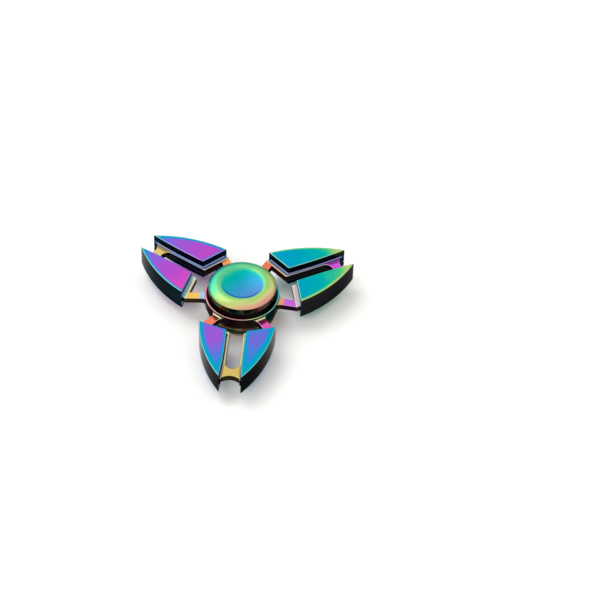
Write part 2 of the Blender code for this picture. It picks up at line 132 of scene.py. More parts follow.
# How many steps each curve is drawn in.
TURN_STEPS = 192
CORNER_STEPS = 5
INNER_EDGE_STEPS = 16
OUTER_EDGE_STEPS = 48
ROUNDING_STEPS = 6
FOOT_STEPS = 5
FRAME_SIDE_STEPS = 40
WEB_STEPS = 20
SLOT_END_STEPS = 32
CHAMFER_STEPS = 3
LEG_CORNER_STEPS = 4
LEG_FILLET_STEPS = 8
LEG_RAMP_STEPS = 4
DISH_STEPS = 19
SHOULDER_STEPS = 24

# Shading. A face over LARGE_FACE square millimetres is shaded flat.
SHARP_ANGLE = math.radians(40)
BEVEL_ANGLE = math.radians(30)
LARGE_FACE = 3.0


# ---------------------------------------------------------------- plan outlines

def arc_points(centre, radius, start, end, steps):
    """Points along an arc in plan, from one angle to another."""
    angles = [start + (end - start) * step / steps for step in range(steps + 1)]
    return [centre + radius * Vector((math.cos(a), math.sin(a))) for a in angles]


def arc_centre(first, last, radius):
    """The centre, on the left of the way from first to last, of the arc that joins them."""
    along = last - first
    left = Vector((-along.y, along.x)).normalized()
    return (first + last) / 2 + left * math.sqrt(radius**2 - (along.length / 2) ** 2)


def heading(centre, point):
    """The angle of the way from a centre to a point, in plan."""
    return math.atan2(point.y - centre.y, point.x - centre.x)


def arc_between(first, last, radius, steps):
    """Points along the arc that bulges to the right of the way from first to last."""
    centre = arc_centre(first, last, radius)
    return arc_points(centre, radius, heading(centre, first), heading(centre, last), steps)


def mirrored(points):
    """The same points on the other side of the arm, in the opposite order."""
    return [Vector((point.x, -point.y)) for point in reversed(points)]


ALONG_ROOT = (BLADE_ROOT_OUTER - BLADE_ROOT_INNER).normalized()
TO_HUB = Vector((-ALONG_ROOT.y, ALONG_ROOT.x))
EDGE_CENTRE = arc_centre(BLADE_TIP, BLADE_ROOT_OUTER, BLADE_EDGE_RADIUS)
INNER_CENTRE = arc_centre(BLADE_ROOT_INNER, BLADE_TIP, BLADE_INNER_RADIUS)


def nearest(points, target):
    """Which of the points lies closest to the target."""
    return min(points, key=lambda point: (point - target).length)


def blade_outline(inset, outer_inset):
    """A blade in plan. Its slot side and root are drawn in by inset, its outer edge by outer_inset."""
    outer_radius = BLADE_EDGE_RADIUS - outer_inset
    inner_radius = BLADE_INNER_RADIUS - inset
    on_root = BLADE_ROOT_INNER - TO_HUB * inset
    root_line = (on_root, on_root + ALONG_ROOT)
    tip = nearest(
        intersect_sphere_sphere_2d(EDGE_CENTRE, outer_radius, INNER_CENTRE, inner_radius), BLADE_TIP
    )
    root_inner = nearest(
        intersect_line_sphere_2d(*root_line, INNER_CENTRE, inner_radius, False), BLADE_ROOT_INNER
    )
    root_outer = nearest(
        intersect_line_sphere_2d(*root_line, EDGE_CENTRE, outer_radius, False), BLADE_ROOT_OUTER
    )
    inner_edge = arc_between(root_inner, tip, inner_radius, INNER_EDGE_STEPS)
    outer_edge = arc_between(tip, root_outer, outer_radius, OUTER_EDGE_STEPS)
    return inner_edge[:-1] + outer_edge


def quarter_turn(steps):
    """Angles from 0 to a right angle in equal steps."""
    return [math.pi / 2 * step / steps for step in range(steps + 1)]


def at_height(outline, height):
    """A plan outline as a section at a height."""
    return [Vector((point.x, point.y, height)) for point in outline]


def blade_sections():
    """A blade's outlines from bottom to top, drawn in along a round edge at each end."""
    sections = []
    for turn in quarter_turn(ROUNDING_STEPS):
        inset = BLADE_ROUNDING * (1 - math.cos(turn))
        height = BLADE_HALF_HEIGHT - BLADE_ROUNDING * (1 - math.sin(turn))
        sections.append(at_height(blade_outline(inset, inset), height))
    return mirrored_sections(sections)


def foot_sections():
    """The hollow fillet where a blade stands on the frame, along the slot and along the root."""
    sections = []
    for turn in quarter_turn(FOOT_STEPS):
        reach = FOOT_RADIUS * (1 - math.sin(turn)) + FOOT_OVERLAP
        height = FRAME_HALF_HEIGHT + FOOT_RADIUS * (1 - math.cos(turn))
        sections.append(at_height(blade_outline(-reach, FOOT_OUTER_INSET), height))
    return mirrored_sections(sections)


def mirrored_sections(upper):
    """The same sections below the middle, then the given ones above it."""
    lower = [[Vector((point.x, point.y, -point.z)) for point in section] for section in reversed(upper)]
    return lower + upper


def other_side(sections, side):
    """The sections on the arm's left, or on its right when side is -1."""
    return [[Vector((point.x, side * point.y, point.z)) for point in section] for section in sections]


def frame_outline():
    """The thin U-shaped frame under two blades: ledges at the roots, a slot between, a web at its end."""
    to_hub = TO_HUB * LEDGE_WIDTH
    ledge_outer = BLADE_ROOT_OUTER + to_hub
    ledge_inner = BLADE_ROOT_INNER + to_hub
    ledge_inner += ALONG_ROOT * (SLOT_HALF_WIDTH - ledge_inner.y) / ALONG_ROOT.y

    tip_corner = Vector((WEB_CORNER.x, FRAME_TIP_WIDTH))
    start = heading(EDGE_CENTRE, tip_corner) + FRAME_INSET / BLADE_EDGE_RADIUS
    end = heading(EDGE_CENTRE, BLADE_ROOT_OUTER)
    outer_side = arc_points(
        EDGE_CENTRE, BLADE_EDGE_RADIUS - FRAME_INSET, start, end, FRAME_SIDE_STEPS
    )

    web_depth = WEB_CORNER.x - WEB_END
    web_radius = (WEB_CORNER.y**2 + web_depth**2) / (2 * web_depth)
    web_centre = Vector((WEB_END + web_radius, 0.0))
    half_sweep = math.asin(WEB_CORNER.y / web_radius)
    web_edge = arc_points(
        web_centre, web_radius, math.pi + half_sweep, math.pi - half_sweep, WEB_STEPS
    )

    side = [tip_corner] + outer_side + [ledge_outer, ledge_inner]
    slot_centre = Vector((SLOT_END - SLOT_HALF_WIDTH, 0.0))
    slot_end = arc_points(
        slot_centre, SLOT_HALF_WIDTH, math.pi / 2, -math.pi / 2, SLOT_END_STEPS
    )
    return mirrored(side) + web_edge + side + slot_end


# ---------------------------------------------------------------- mesh helpers

def add_object(name, data):
    """A new object in the scene for a mesh, a light or a camera."""
    obj = bpy.data.objects.new(name, data)
    bpy.context.scene.collection.objects.link(obj)
    return obj


def freeze(obj):
    """Turns an object's modifiers into plain mesh."""
    bpy.context.view_layer.update()
    graph = bpy.context.evaluated_depsgraph_get()
    mesh = bpy.data.meshes.new_from_object(obj.evaluated_get(graph))
    obj.modifiers.clear()
    obj.data = mesh
    return obj


def solid(name, mesh):
    """A finished bmesh as an object of its own, its faces turned outward."""
    bmesh.ops.recalc_face_normals(mesh, faces=mesh.faces)
    data = bpy.data.meshes.new(name)
    mesh.to_mesh(data)
    mesh.free()
    return add_object(name, data)


def plate(name, points, half_height):
    """A flat closed outline in plan, made a solid of the given half height."""
    mesh = bmesh.new()
    corners = [(point.x * MM, point.y * MM, -half_height * MM) for point in points]
    face = mesh.faces.new([mesh.verts.new(corner) for corner in corners])
    grown = bmesh.ops.extrude_face_region(mesh, geom=[face], use_keep_orig=True)
    risen = [item for item in grown["geom"] if isinstance(item, bmesh.types.BMVert)]
    bmesh.ops.translate(mesh, verts=risen, vec=(0, 0, 2 * half_height * MM))
    return solid(name, mesh)


def rounded(obj, width, segments):
    """The object with its sharp edges bevelled."""
    bevel = obj.modifiers.new("edge", "BEVEL")
    bevel.width = width * MM
    bevel.segments = segments
    bevel.limit_method = "ANGLE"
    bevel.angle_limit = BEVEL_ANGLE
    bevel.use_clamp_overlap = False
    return freeze(obj)


def loft(name, sections):
    """A solid through closed sections of equal length, capped at both ends."""
    mesh = bmesh.new()
    rows = [[mesh.verts.new(point * MM) for point in section] for section in sections]
    count = len(rows[0])
    for near, far in zip(rows, rows[1:]):
        for i in range(count):
            j = (i + 1) % count
            mesh.faces.new((near[i], near[j], far[j], far[i]))
    mesh.faces.new(rows[0])
    mesh.faces.new(rows[-1])
    return solid(name, mesh)


def turned(name, profile, closed):
    """A shape turned about Z from (radius, height) points. closed joins its last point to its first."""
    rows = []
    mesh = bmesh.new()
    angles = [math.tau * step / TURN_STEPS for step in range(TURN_STEPS)]
    for radius, height in profile:
        if radius == 0:
            rows.append([mesh.verts.new((0, 0, height * MM))] * TURN_STEPS)
            continue
        ring = [(radius * math.cos(a) * MM, radius * math.sin(a) * MM, height * MM) for a in angles]
        rows.append([mesh.verts.new(corner) for corner in ring])
    pairs = list(zip(rows, rows[1:]))
    if closed:
        pairs.append((rows[-1], rows[0]))
    for near, far in pairs:
        for i in range(TURN_STEPS):
            j = (i + 1) % TURN_STEPS
            corners = [near[i], near[j], far[j], far[i]]
            mesh.faces.new(list(dict.fromkeys(corners)))
    return solid(name, mesh)


def with_round_corners(profile, radii, steps=CORNER_STEPS):
    """A profile whose corners are rounded: radii maps a corner's number to its radius."""
    points = []
    count = len(profile)
    for number, corner in enumerate(profile):
        corner = Vector(corner)
        radius = radii.get(number, 0)
        if not radius:
            points.append(tuple(corner))
            continue
        before = (Vector(profile[(number - 1) % count]) - corner).normalized()
        after = (Vector(profile[(number + 1) % count]) - corner).normalized()
        half = before.angle(after) / 2
        reach = radius / math.tan(half)
        centre = corner + (before + after).normalized() * radius / math.sin(half)
        start = heading(centre, corner + before * reach)
        sweep = heading(centre, corner + after * reach) - start
        sweep = (sweep + math.pi) % math.tau - math.pi
        points += [tuple(point) for point in arc_points(centre, radius, start, start + sweep, steps)]
    return points


def smooth(obj):
    """Smooth shading that keeps flat faces flat and sharp edges sharp."""
    obj.data.shade_smooth()
    obj.data.set_sharp_from_angle(angle=SHARP_ANGLE)
    weighted = obj.modifiers.new("normals", "WEIGHTED_NORMAL")
    weighted.keep_sharp = True
    weighted.weight = 100
    freeze(obj)
    normals = [corner.vector.copy() for corner in obj.data.corner_normals]
    for face in obj.data.polygons:
        if face.area > LARGE_FACE * MM**2:
            for corner in face.loop_indices:
                normals[corner] = face.normal.copy()
    obj.data.normals_split_custom_set(normals)
    return obj


def union(obj, others):
    """Joins the others into the object as one solid and removes them."""
    for other in others:
        boolean = obj.modifiers.new(other.name, "BOOLEAN")
        boolean.operation = "UNION"
        boolean.solver = "EXACT"
        boolean.object = other
    freeze(obj)
    for other in others:
        bpy.data.objects.remove(other)
    return obj


def place(obj, body, materials, replaced):
    """Hands a finished piece to the frame."""
    obj.data.materials.clear()
    for material in materials:
        obj.data.materials.append(material)
    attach(obj, body)
    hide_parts(replaced)
    return obj


# ---------------------------------------------------------------- the pieces

def fillet_centre(fillet):
    """How far out along a leg the centre of its fillet to the hub is."""
    return math.sqrt((HUB_RADIUS + fillet) ** 2 - (LEG_HALF_WIDTH + fillet) ** 2)


def fillet_sweep(fillet):
    """The angle a fillet turns through from the leg's side, stopping just short of the hub's wall."""
    return FILLET_SHARE * math.acos((LEG_HALF_WIDTH + fillet) / (HUB_RADIUS + fillet))


def leg_stations():
    """Where a leg's sections are: close together round both fillets and the ramp to the hub."""
    stations = {LEG_ROOT, LEG_END}
    for fillet in LEG_FILLETS:
        sweep = fillet_sweep(fillet)
        turns = [sweep * step / LEG_FILLET_STEPS for step in range(LEG_FILLET_STEPS + 1)]
        stations |= {fillet_centre(fillet) - fillet * math.sin(turn) for turn in turns}
    ramp = LEG_RAMP_START - HUB_RADIUS
    stations |= {HUB_RADIUS + ramp * step / LEG_RAMP_STEPS for step in range(LEG_RAMP_STEPS + 1)}
    return sorted(stations)


def leg_section(along, side):
    """A rounded box section across a leg, at a distance along it from the spin axis."""
    widths = []
    for fillet in LEG_FILLETS:
        widest = fillet * math.sin(fillet_sweep(fillet))
        into = min(max(fillet_centre(fillet) - along, 0.0), widest)
        widths.append(LEG_HALF_WIDTH + fillet - math.sqrt(fillet**2 - into**2))
    ramp = min(max((LEG_RAMP_START - along) / (LEG_RAMP_START - HUB_RADIUS), 0.0), 1.0)
    height = LEG_HALF_HEIGHT + LEG_RAMP_RISE * ramp**2
    box = [(-widths[0], height), (widths[1], height), (widths[1], -height), (-widths[0], -height)]
    section = with_round_corners(box, {corner: LEG_ROUNDING for corner in range(4)}, LEG_CORNER_STEPS)
    turn = Matrix.Rotation(side * LEG_ANGLE, 3, "Z")
    return [turn @ Vector((along, side * across, height)) for across, height in section]


def make_arm():
    """One arm, outward along X: the chamfered frame, two legs to the hub and two raised blades."""
    arm = rounded(plate("arm", frame_outline(), FRAME_HALF_HEIGHT), FRAME_CHAMFER, CHAMFER_STEPS)
    others = []
    for side in (1, -1):
        others.append(loft("leg", [leg_section(along, side) for along in leg_stations()]))
        others.append(loft("blade", other_side(blade_sections(), side)))
        others.append(loft("foot", other_side(foot_sections(), side)))
    return union(arm, others)


def make_casting(materials):
    """The cast body in one piece: the hub ring and three arms, with a material slot for each."""
    profile = [
        (HUB_BORE_RADIUS, HUB_HALF_HEIGHT),
        (HUB_RADIUS, HUB_HALF_HEIGHT),
        (HUB_RADIUS, -HUB_HALF_HEIGHT),
        (HUB_BORE_RADIUS, -HUB_HALF_HEIGHT),
    ]
    profile = with_round_corners(profile, {corner: HUB_ROUNDING for corner in range(4)})
    body = turned("spinner_casting", profile, closed=True)
    arm = make_arm()
    copies = []
    for angle in ARM_ANGLES:
        copy = add_object("arm_copy", arm.data.copy())
        copy.data.transform(Matrix.Rotation(angle, 4, "Z"))
        copies.append(copy)
    bpy.data.objects.remove(arm)
    union(body, copies)
    smooth(body)
    place(body, "rotor", materials, "spinner_body")
    for face in body.data.polygons:
        centre = Vector(face.center.xy) / MM
        if centre.length < HUB_FACES_WITHIN:
            face.material_index = 0
        else:
            facing = [math.cos(heading(Vector((0, 0)), centre) - angle) for angle in ARM_ANGLES]
            face.material_index = 1 + facing.index(max(facing))
    return body


def cap_face_profile():
    """The finger face of a cap: a shallow dish, a crest and a shoulder that falls to the side wall."""
    dish_sphere = (DISH_RADIUS**2 + DISH_DEPTH**2) / (2 * DISH_DEPTH)
    rim_height = CREST_HEIGHT - DISH_RIM_DROP
    profile = []
    for step in range(DISH_STEPS + 1):
        radius = DISH_RADIUS * step / DISH_STEPS
        rise = dish_sphere - math.sqrt(dish_sphere**2 - radius**2)
        profile.append((radius, rim_height - DISH_DEPTH + rise))
    profile += [
        (DISH_RADIUS + LIP_WIDTH, CREST_HEIGHT - LIP_DROP),
        (CREST_INNER_RADIUS, CREST_HEIGHT),
    ]
    run = CAP_RADIUS - CREST_OUTER_RADIUS
    final_slope = 2 * math.atan2(CREST_HEIGHT - CAP_EDGE_HEIGHT, run)
    shoulder_radius = run / math.sin(final_slope)
    for step in range(SHOULDER_STEPS + 1):
        slope = final_slope * step / SHOULDER_STEPS
        radius = CREST_OUTER_RADIUS + shoulder_radius * math.sin(slope)
        profile.append((radius, CREST_HEIGHT - shoulder_radius * (1 - math.cos(slope))))
    profile += with_round_corners(
        [
            (CAP_RADIUS, CAP_EDGE_HEIGHT - SIDE_STEP),
            (CAP_RADIUS, CAP_UNDERSIDE),
            (BOSS_RADIUS, CAP_UNDERSIDE),
            (BOSS_RADIUS, RING_HIGH.z + SEAT_GAP),
            (SPIGOT_RADIUS, RING_HIGH.z + SEAT_GAP),
        ],
        {1: CAP_ROUNDING},
    )
    return profile


def make_upper_cap(material):
    """The cap with the stud: its face, the spigot in the inner ring, and the stud down the middle."""
    profile = cap_face_profile() + with_round_corners(
        [
            (SPIGOT_RADIUS, SPIGOT_END),
            (STUD_RADIUS, SPIGOT_END),
            (STUD_RADIUS, STUD_END),
            (0.0, STUD_END),
        ],
        {2: STUD_ROUNDING},
    )
    cap = smooth(turned("upper_finger_cap", profile, closed=False))
    return place(cap, "core", [material], "upper_cap")


def make_lower_cap(material):
    """The same cap upside down, with the hollow post that takes the stud."""
    post = [
        (0.0, POST_BORE_FLOOR),
        (POST_BORE_RADIUS, POST_BORE_FLOOR),
        (POST_BORE_RADIUS, POST_TOP),
        (SPIGOT_RADIUS, POST_TOP),
    ]
    face = [(radius, -height) for radius, height in reversed(cap_face_profile())]
    cap = smooth(turned("lower_finger_cap", post + face, closed=False))
    return place(cap, "core", [material], "lower_cap")


# ---------------------------------------------------------------- materials

# Colours of the plating in the order in which a growing film shows them.
FILM_COLOURS = [
    (235, 190, 85),
    (240, 150, 80),
    (235, 100, 110),
    (225, 75, 185),
    (178, 78, 205),
    (150, 92, 215),
    (100, 115, 220),
    (35, 145, 215),
    (0, 165, 200),
    (0, 185, 170),
    (70, 205, 140),
    (170, 212, 110),
    (215, 215, 130),
    (228, 172, 130),
    (225, 120, 150),
]


def linear(colour):
    """A display colour, 0 to 255, as linear light."""
    shares = [value / 255 for value in colour]
    return [s / 12.92 if s <= 0.04045 else ((s + 0.055) / 1.055) ** 2.4 for s in shares] + [1.0]


# Noise: its detail, the part of its range that is used, and the clouds on the arms' low parts.
NOISE_DETAIL = 3.0
NOISE_RANGE = (0.2, 0.8)
LOW_CLOUD_SCALE = 0.35
HUE_DRIFT = 0.01
DEPTH_DRIFT = 0.08


class Graph:
    """A material being built. Most methods add a node or a few and return their output."""

    def __init__(self, name, metallic=1.0):
        self.material = bpy.data.materials.new(name)
        self.material.use_nodes = True
        self.nodes = self.material.node_tree.nodes
        self.links = self.material.node_tree.links
        self.shader = self.nodes["Principled BSDF"]
        self.shader.inputs["Metallic"].default_value = metallic
        self.where = self.nodes.new("ShaderNodeTexCoord")

    def feed(self, socket, value):
        """Gives a socket a link or a constant."""
        if isinstance(value, bpy.types.NodeSocket):
            self.links.new(value, socket)
        else:
            socket.default_value = value

    def math(self, operation, first, second=0.0):
        """One math node, by the name of its operation."""
        node = self.nodes.new("ShaderNodeMath")
        node.operation = operation
        self.feed(node.inputs[0], first)
        self.feed(node.inputs[1], second)
        return node.outputs[0]

    def add(self, *terms):
        total = terms[0]
        for term in terms[1:]:
            total = self.math("ADD", total, term)
        return total

    def less(self, first, second):
        """The first value less the second."""
        return self.math("SUBTRACT", first, second)

    def times(self, first, second):
        return self.math("MULTIPLY", first, second)

    def greatest(self, *values):
        top = values[0]
        for value in values[1:]:
            top = self.math("MAXIMUM", top, value)
        return top

    def span(self, value, low, high, at_low=0.0, at_high=1.0):
        """Goes smoothly from at_low to at_high as value goes from low to high."""
        node = self.nodes.new("ShaderNodeMapRange")
        node.interpolation_type = "SMOOTHSTEP"
        for number, entry in enumerate((value, low, high, at_low, at_high)):
            self.feed(node.inputs[number], entry)
        return node.outputs[0]

    def mix(self, share, first, second):
        """The first value where share is 0, the second where it is 1."""
        node = self.nodes.new("ShaderNodeMix")
        self.feed(node.inputs[0], share)
        self.feed(node.inputs[2], first)
        self.feed(node.inputs[3], second)
        return node.outputs[0]

    def mix_colour(self, share, first, second):
        node = self.nodes.new("ShaderNodeMix")
        node.data_type = "RGBA"
        self.feed(node.inputs[0], share)
        self.feed(node.inputs[6], first)
        self.feed(node.inputs[7], second)
        return node.outputs[2]

    def clouded(self, colour):
        """The colour, drifting a little in hue and depth across the surface."""
        node = self.nodes.new("ShaderNodeHueSaturation")
        cloud = self.noise(self.mapped(), LOW_CLOUD_SCALE)
        self.feed(node.inputs["Hue"], self.add(0.5, self.times(cloud, HUE_DRIFT)))
        self.feed(node.inputs["Saturation"], self.add(1.0, self.times(cloud, DEPTH_DRIFT)))
        self.feed(node.inputs["Color"], colour)
        return node.outputs[0]

    def ramp(self, value, colours):
        """Evenly spaced colours along 0 to 1."""
        node = self.nodes.new("ShaderNodeValToRGB")
        stops = node.color_ramp.elements
        while len(stops) < len(colours):
            stops.new(1.0)
        for number, colour in enumerate(colours):
            stops[number].position = number / (len(colours) - 1)
            stops[number].color = linear(colour)
        self.feed(node.inputs[0], value)
        return node.outputs[0]

    def noise(self, where, scale):
        """Noise from -1 to 1 or so."""
        node = self.nodes.new("ShaderNodeTexNoise")
        self.feed(node.inputs["Vector"], where)
        node.inputs["Scale"].default_value = scale
        node.inputs["Detail"].default_value = NOISE_DETAIL
        return self.span(node.outputs[0], *NOISE_RANGE, -1.0, 1.0)

    def mapped(self, turn=0.0, stretch=(1.0, 1.0, 1.0)):
        """Object coordinates in millimetres, turned about Z and stretched."""
        node = self.nodes.new("ShaderNodeMapping")
        node.inputs["Rotation"].default_value = (0.0, 0.0, turn)
        node.inputs["Scale"].default_value = tuple(value / MM for value in stretch)
        self.feed(node.inputs["Vector"], self.where.outputs["Object"])
        return node.outputs[0]

    def split(self, vector):
        """The X, Y and Z of a vector."""
        node = self.nodes.new("ShaderNodeSeparateXYZ")
        self.feed(node.inputs[0], vector)
        return node.outputs

    def distance(self, x, y, centre):
        """How far (x, y) is from a fixed point in plan."""
        x_away = self.less(x, centre.x)
        y_away = self.less(y, centre.y)
        squares = self.add(self.times(x_away, x_away), self.times(y_away, y_away))
        return self.math("SQRT", squares)

    def from_axis(self, x, y):
        """How far (x, y) is from the spin axis."""
        return self.distance(x, y, Vector((0, 0)))

    def steepness(self):
        """0 on a level face, 1 on an upright wall."""
        rise = self.math("ABSOLUTE", self.split(self.where.outputs["Normal"])[2])
        return self.less(1.0, rise)

    def bump(self, height, strength, depth):
        """Fine relief on the shader, depth in millimetres."""
        node = self.nodes.new("ShaderNodeBump")
        node.inputs["Strength"].default_value = strength
        node.inputs["Distance"].default_value = depth * MM
        self.feed(node.inputs["Height"], height)
        self.links.new(node.outputs[0], self.shader.inputs["Normal"])


# Colours off the film's own order.
CREAM = (208, 200, 148)
# Next: a painted highlight, the pale line where the light catches a rounded edge.
PAINTED_EDGE_HIGHLIGHT = (222, 214, 205)
# Next: painted shade for steep walls, standing in for the dark room that they mirror.
PAINTED_WALL_SHADE = (5, 6, 9)

# Clouds in the film: the scale of each noise, and how far it moves the film's thickness.
FILM_CLOUDS = ((0.2, 0.022), (1.4, 0.005))

# Steepness runs from 0 on a level face to 1 on a wall. Spans of it are given as (from, to).
# EDGE_BEGINS and EDGE_ENDS place the painted highlight on rounded edges; WALL_BEGINS places the walls'
# painted shade.
EDGE_BEGINS = (0.02, 0.1)
EDGE_ENDS = (0.25, 0.45)
WALL_BEGINS = (0.3, 0.7)

# Gloss and texture of the plating. A wall with painted reflection (lit) is less metallic, so that its
# painted colour shows.
LIT_METALLIC = 0.25
GLOSS = 0.15
GLOSS_DRIFT = 0.02
GLOSS_CLOUD_SCALE = 0.22
GRAIN_STRETCH = (9.0, 9.0, 2.0)
RELIEF_SCALE = 4.0
EDGE_TINT = (0.5, 0.5, 0.5, 1.0)


def film_colour(graph, film):
    """The plating's colour for a film thickness from 0 to 1, with soft clouds in it."""
    where = graph.mapped()
    clouds = [graph.times(graph.noise(where, scale), drift) for scale, drift in FILM_CLOUDS]
    return graph.ramp(graph.add(film, *clouds), FILM_COLOURS)


def finish_plating(graph, colour, shade=0.0, lit=0.0, wall_tint=0.03, edge_highlight_share=0.5):
    """Colours, gloss and fine texture that every plated piece shares, with painted shade on its walls and a
    painted highlight on its rounded edges.

    shade is 1 where a level face gets the same painted shade as the walls, and lit is 1 where a wall's
    painted shade gives way to a painted reflection as bright as a level face. The last two arguments are the
    share of colour left under the painted shade and how pale the painted highlight along rounded edges is.
    """
    where = graph.mapped()
    steep = graph.steepness()
    # Rounded edges get a painted highlight, a pale line where the light catches them.
    edge_highlight = graph.times(graph.span(steep, *EDGE_BEGINS), graph.span(steep, *EDGE_ENDS, edge_highlight_share, 0.0))
    colour = graph.mix_colour(edge_highlight, colour, linear(PAINTED_EDGE_HIGHLIGHT))
    # Steep walls get painted shade, standing in for the dark room that they mirror; lit lifts it again where
    # a wall has painted reflection.
    wall = graph.greatest(graph.span(steep, *WALL_BEGINS), shade)
    wall = graph.times(wall, graph.less(1.0, lit))
    painted_shade = graph.mix_colour(1 - wall_tint, colour, linear(PAINTED_WALL_SHADE))
    graph.feed(graph.shader.inputs["Base Color"], graph.mix_colour(wall, colour, painted_shade))
    graph.feed(graph.shader.inputs["Metallic"], graph.span(lit, 0.0, 1.0, 1.0, LIT_METALLIC))
    cloud = graph.noise(where, GLOSS_CLOUD_SCALE)
    grain = graph.noise(graph.mapped(stretch=GRAIN_STRETCH), 1.0)
    gloss = graph.add(GLOSS, graph.times(cloud, GLOSS_DRIFT), graph.times(grain, GLOSS_DRIFT))
    graph.feed(graph.shader.inputs["Roughness"], gloss)
    graph.shader.inputs["Specular Tint"].default_value = EDGE_TINT
    graph.bump(graph.noise(where, RELIEF_SCALE), strength=0.12, depth=0.01)
    return graph.material


# Where an arm's colours change, in its own frame, as (from, to): outward along it for the blades' film ...
ROOT_TO_MIDDLE = (15.0, 27.0)
MIDDLE_TO_LATE = (24.0, 36.0)
LATE_TO_TIP = (34.0, 42.0)
WEB_BEGINS = (32.5, 34.0)
# ... in from a blade's outer edge, slot side and root, over a share of the look's margin, with the rim's
# film at full strength, at the look's slot_rim and at ROOT_RIM ...
OUTER_RIM_FROM = 0.3
INNER_RIM_FROM = 0.2
SLOT_RIM_SHARE = 0.7
ROOT_RIM_SHARE = 0.5
ROOT_RIM = 0.5
# ... out from a blade's root or sides, onto the frame and the legs ...
AT_WALL = (-0.06, -0.02)
LEG_BEGINS = (1.4, 1.65)
WEB_FADES = (0.2, 1.0)
# ... and up from the middle of its thickness, where the painted reflection on a blade's walls lies.
ABOVE_FRAME = (0.9, 1.25)
LEDGE_GLOW_ENDS = (1.45, 1.75)
ROOT_GLOW_ENDS = (2.2, 3.3)
BLADE_FROM = 2.6


def side_places(graph, angle):
    """Where a point is on an arm, by name. All but on_left are the same on both sides of the arm."""
    u, v, z = graph.split(graph.mapped(turn=-angle))
    on_left = graph.math("GREATER_THAN", v, 0.0)
    v = graph.math("ABSOLUTE", v)
    inner = graph.less(BLADE_INNER_RADIUS, graph.distance(u, v, INNER_CENTRE))
    to_root = graph.add(
        graph.times(graph.less(u, BLADE_ROOT_INNER.x), TO_HUB.x),
        graph.times(graph.less(v, BLADE_ROOT_INNER.y), TO_HUB.y),
    )
    return {
        "on_left": on_left,
        "along": u,
        "height": graph.math("ABSOLUTE", z),
        "outer": graph.less(BLADE_EDGE_RADIUS, graph.distance(u, v, EDGE_CENTRE)),
        "inner": inner,
        "to_root": to_root,
        "outside": graph.greatest(to_root, graph.times(inner, -1.0)),
        "leg_length": graph.add(graph.times(u, math.cos(LEG_ANGLE)), graph.times(v, math.sin(LEG_ANGLE))),
    }


def blade_colour(graph, places, look):
    """The colour of a blade: a film that grows outward along it, with another thickness round its rim."""
    film = look["root"]
    for zone, later in ((ROOT_TO_MIDDLE, "middle"), (MIDDLE_TO_LATE, "late"), (LATE_TO_TIP, "tip")):
        film = graph.mix(graph.span(places["along"], *zone), film, look[later])
    margin = look["margin"]
    rooted = graph.times(places["to_root"], -1.0)
    near_edge = graph.greatest(
        graph.span(places["outer"], OUTER_RIM_FROM, margin, 1.0, 0.0),
        graph.span(places["inner"], INNER_RIM_FROM, margin * SLOT_RIM_SHARE, look["slot_rim"], 0.0),
        graph.span(rooted, INNER_RIM_FROM, margin * ROOT_RIM_SHARE, ROOT_RIM, 0.0),
    )
    return film_colour(graph, graph.mix(near_edge, film, look["rim"]))


def low_colour(graph, places, look):
    """The colour of the thin parts under a blade: its ledge, its leg, and the web at the slot's end. The
    ledge by the blade has painted reflection, and the leg's hub end a painted highlight.
    """
    near, far = (linear(colour) for colour in look["ledge"])
    hub_end, outer_end = (linear(colour) for colour in look["leg"])
    # By the blade the ledge's colour is painted reflection: dark by a shaded wall, pale blue by a wall
    # painted bright.
    ledge = graph.mix_colour(graph.span(places["outside"], *look["ledge_span"]), near, far)
    # The leg's pale hub end is a painted highlight where it rises to the hub.
    leg = graph.mix_colour(graph.span(places["leg_length"], *look["leg_span"]), hub_end, outer_end)
    low = graph.mix_colour(graph.span(places["to_root"], *LEG_BEGINS), ledge, leg)
    web = graph.mix_colour(graph.span(places["outside"], *WEB_FADES), near, linear(look["web"]))
    return graph.clouded(graph.mix_colour(graph.span(places["along"], *WEB_BEGINS), low, web))


def painted_wall_glow(graph, places, look):
    """How much of a blade's walls is painted bright, as a painted reflection of the light: low on the root,
    just over a ledge.
    """
    above_frame = graph.span(places["height"], *ABOVE_FRAME)
    glows = []
    for wall, ends, brightness in (
        ("to_root", ROOT_GLOW_ENDS, look["glow"]),
        ("outside", LEDGE_GLOW_ENDS, look["ledge_glow"]),
    ):
        at_wall = graph.times(graph.span(places[wall], *AT_WALL), above_frame)
        glows.append(graph.times(at_wall, graph.span(places["height"], *ends, brightness, 0.0)))
    return graph.greatest(*glows)


def arm_material(name, angle, looks):
    """Plating on one arm. looks has a dict for each side, the one on the left of the way outward first."""
    graph = Graph(name)
    places = side_places(graph, angle)
    raised = graph.math("GREATER_THAN", places["height"], BLADE_FROM)
    colours = []
    glows = []
    for look in looks:
        low = low_colour(graph, places, look)
        colours.append(graph.mix_colour(raised, low, blade_colour(graph, places, look)))
        glows.append(painted_wall_glow(graph, places, look))
    colour = graph.mix_colour(places["on_left"], colours[1], colours[0])
    # lit is where the walls' painted shade gives way to painted reflection.
    return finish_plating(graph, colour, lit=graph.mix(places["on_left"], glows[1], glows[0]))


# The hub's film goes from the first thickness, left of HUB_FILM_FROM, to the second at its right edge.
HUB_FILM_FROM = -2.0
HUB_FILMS = (1.0, 0.62)
# Inside these radii the hub's face gets painted shade, for the dark gap under the cap.
HUB_PAINTED_SHADE_ENDS = (HUB_RADIUS - 0.6, HUB_RADIUS - 0.45)


